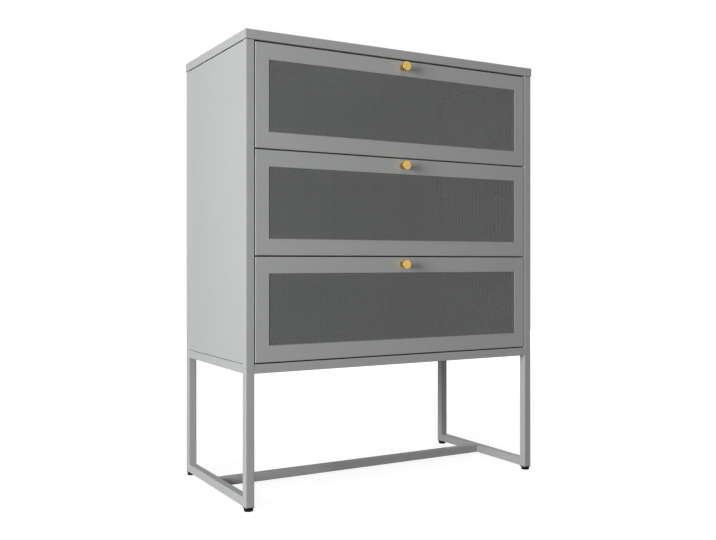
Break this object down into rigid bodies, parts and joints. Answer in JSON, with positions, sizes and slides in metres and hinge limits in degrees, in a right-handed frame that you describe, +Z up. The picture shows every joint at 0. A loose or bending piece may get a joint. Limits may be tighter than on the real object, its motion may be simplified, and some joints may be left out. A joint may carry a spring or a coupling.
{
  "type": "metal drawer cabinet",
  "caption": "Grey steel chest with perforated drawer fronts and brass knobs on an open square-tube frame with levelling feet.",
  "frame": {"origin": "on the floor, midway across the width and midway between the knob faces and the back edge of the top", "axes": "+X to the right seen from the front, +Y to the back, +Z up; the drawer fronts face -Y"},
  "size_m": [0.803, 0.4264, 1.052],
  "materials": {
    "grey_tube": "satin powder coat",
    "grey_sheet": "satin powder coat",
    "grey_mesh": "satin powder coat",
    "brass": "satin",
    "zinc_plate": "bright zinc plate",
    "ball_steel": "polished",
    "screw_steel": "zinc plate",
    "black_plastic": "matte"
  },
  "bodies": {
    "cabinet": {"top_cap": "grey_sheet", "side_frame_left": "grey_tube", "side_frame_right": "grey_tube", "front_rail": "grey_tube", "back_rail": "grey_tube", "front_top_rail": "grey_tube", "back_top_rail": "grey_tube", "stretcher": "grey_tube", "side_panel_left": "grey_sheet", "side_panel_right": "grey_sheet", "back_panel": "grey_sheet", "floor_panel": "grey_sheet", "slide_brackets_left": "grey_tube", "slide_brackets_right": "grey_tube", "slide_screws": "screw_steel", "foot_plugs": "black_plastic", "slide_outer_1": "zinc_plate", "slide_outer_2": "zinc_plate", "slide_outer_3": "zinc_plate"},
    "level_front_left": {"foot_front_left": "black_plastic"},
    "level_front_right": {"foot_front_right": "black_plastic"},
    "level_back_left": {"foot_back_left": "black_plastic"},
    "level_back_right": {"foot_back_right": "black_plastic"},
    "drawer_1": {"drawer_front_1": "grey_sheet", "mesh_panel_1": "grey_mesh", "knob_1": "brass", "drawer_side_left_1": "grey_sheet", "drawer_side_right_1": "grey_sheet", "drawer_back_1": "grey_sheet", "drawer_bottom_1": "grey_sheet", "drawer_screws_1": "screw_steel", "slide_inner_1": "zinc_plate"},
    "middle_slides_1": {"slide_middle_1": "zinc_plate"},
    "outer_balls_1": {"outer_ball_strips_1": "ball_steel"},
    "inner_balls_1": {"inner_ball_strips_1": "ball_steel"},
    "drawer_2": {"drawer_front_2": "grey_sheet", "mesh_panel_2": "grey_mesh", "knob_2": "brass", "drawer_side_left_2": "grey_sheet", "drawer_side_right_2": "grey_sheet", "drawer_back_2": "grey_sheet", "drawer_bottom_2": "grey_sheet", "drawer_screws_2": "screw_steel", "slide_inner_2": "zinc_plate"},
    "middle_slides_2": {"slide_middle_2": "zinc_plate"},
    "outer_balls_2": {"outer_ball_strips_2": "ball_steel"},
    "inner_balls_2": {"inner_ball_strips_2": "ball_steel"},
    "drawer_3": {"drawer_front_3": "grey_sheet", "mesh_panel_3": "grey_mesh", "knob_3": "brass", "drawer_side_left_3": "grey_sheet", "drawer_side_right_3": "grey_sheet", "drawer_back_3": "grey_sheet", "drawer_bottom_3": "grey_sheet", "drawer_screws_3": "screw_steel", "slide_inner_3": "zinc_plate"},
    "middle_slides_3": {"slide_middle_3": "zinc_plate"},
    "outer_balls_3": {"outer_ball_strips_3": "ball_steel"},
    "inner_balls_3": {"inner_ball_strips_3": "ball_steel"}
  },
  "joints": [
    {"name": "foot_front_left_level", "type": "slide", "parent": "cabinet", "child": "level_front_left", "axis": [0, 0, -1], "range_m": [0, 0.01]},
    {"name": "foot_front_right_level", "type": "slide", "parent": "cabinet", "child": "level_front_right", "axis": [0, 0, -1], "range_m": [0, 0.01]},
    {"name": "foot_back_left_level", "type": "slide", "parent": "cabinet", "child": "level_back_left", "axis": [0, 0, -1], "range_m": [0, 0.01]},
    {"name": "foot_back_right_level", "type": "slide", "parent": "cabinet", "child": "level_back_right", "axis": [0, 0, -1], "range_m": [0, 0.01]},
    {"name": "drawer_1_slide", "type": "slide", "parent": "cabinet", "child": "drawer_1", "axis": [0, -1, 0], "range_m": [0, 0.35]},
    {"name": "middle_slides_1_slide", "type": "slide", "parent": "cabinet", "child": "middle_slides_1", "axis": [0, -1, 0], "range_m": [0, 0.175]},
    {"name": "outer_balls_1_slide", "type": "slide", "parent": "cabinet", "child": "outer_balls_1", "axis": [0, -1, 0], "range_m": [0, 0.0875]},
    {"name": "inner_balls_1_slide", "type": "slide", "parent": "cabinet", "child": "inner_balls_1", "axis": [0, -1, 0], "range_m": [0, 0.2625]},
    {"name": "drawer_2_slide", "type": "slide", "parent": "cabinet", "child": "drawer_2", "axis": [0, -1, 0], "range_m": [0, 0.35]},
    {"name": "middle_slides_2_slide", "type": "slide", "parent": "cabinet", "child": "middle_slides_2", "axis": [0, -1, 0], "range_m": [0, 0.175]},
    {"name": "outer_balls_2_slide", "type": "slide", "parent": "cabinet", "child": "outer_balls_2", "axis": [0, -1, 0], "range_m": [0, 0.0875]},
    {"name": "inner_balls_2_slide", "type": "slide", "parent": "cabinet", "child": "inner_balls_2", "axis": [0, -1, 0], "range_m": [0, 0.2625]},
    {"name": "drawer_3_slide", "type": "slide", "parent": "cabinet", "child": "drawer_3", "axis": [0, -1, 0], "range_m": [0, 0.35]},
    {"name": "middle_slides_3_slide", "type": "slide", "parent": "cabinet", "child": "middle_slides_3", "axis": [0, -1, 0], "range_m": [0, 0.175]},
    {"name": "outer_balls_3_slide", "type": "slide", "parent": "cabinet", "child": "outer_balls_3", "axis": [0, -1, 0], "range_m": [0, 0.0875]},
    {"name": "inner_balls_3_slide", "type": "slide", "parent": "cabinet", "child": "inner_balls_3", "axis": [0, -1, 0], "range_m": [0, 0.2625]}
  ],
  "couplings": [
    {"joint": "middle_slides_1_slide", "follows": "drawer_1_slide", "ratio": 0.5},
    {"joint": "outer_balls_1_slide", "follows": "drawer_1_slide", "ratio": 0.25},
    {"joint": "inner_balls_1_slide", "follows": "drawer_1_slide", "ratio": 0.75},
    {"joint": "middle_slides_2_slide", "follows": "drawer_2_slide", "ratio": 0.5},
    {"joint": "outer_balls_2_slide", "follows": "drawer_2_slide", "ratio": 0.25},
    {"joint": "inner_balls_2_slide", "follows": "drawer_2_slide", "ratio": 0.75},
    {"joint": "middle_slides_3_slide", "follows": "drawer_3_slide", "ratio": 0.5},
    {"joint": "outer_balls_3_slide", "follows": "drawer_3_slide", "ratio": 0.25},
    {"joint": "inner_balls_3_slide", "follows": "drawer_3_slide", "ratio": 0.75}
  ]
}
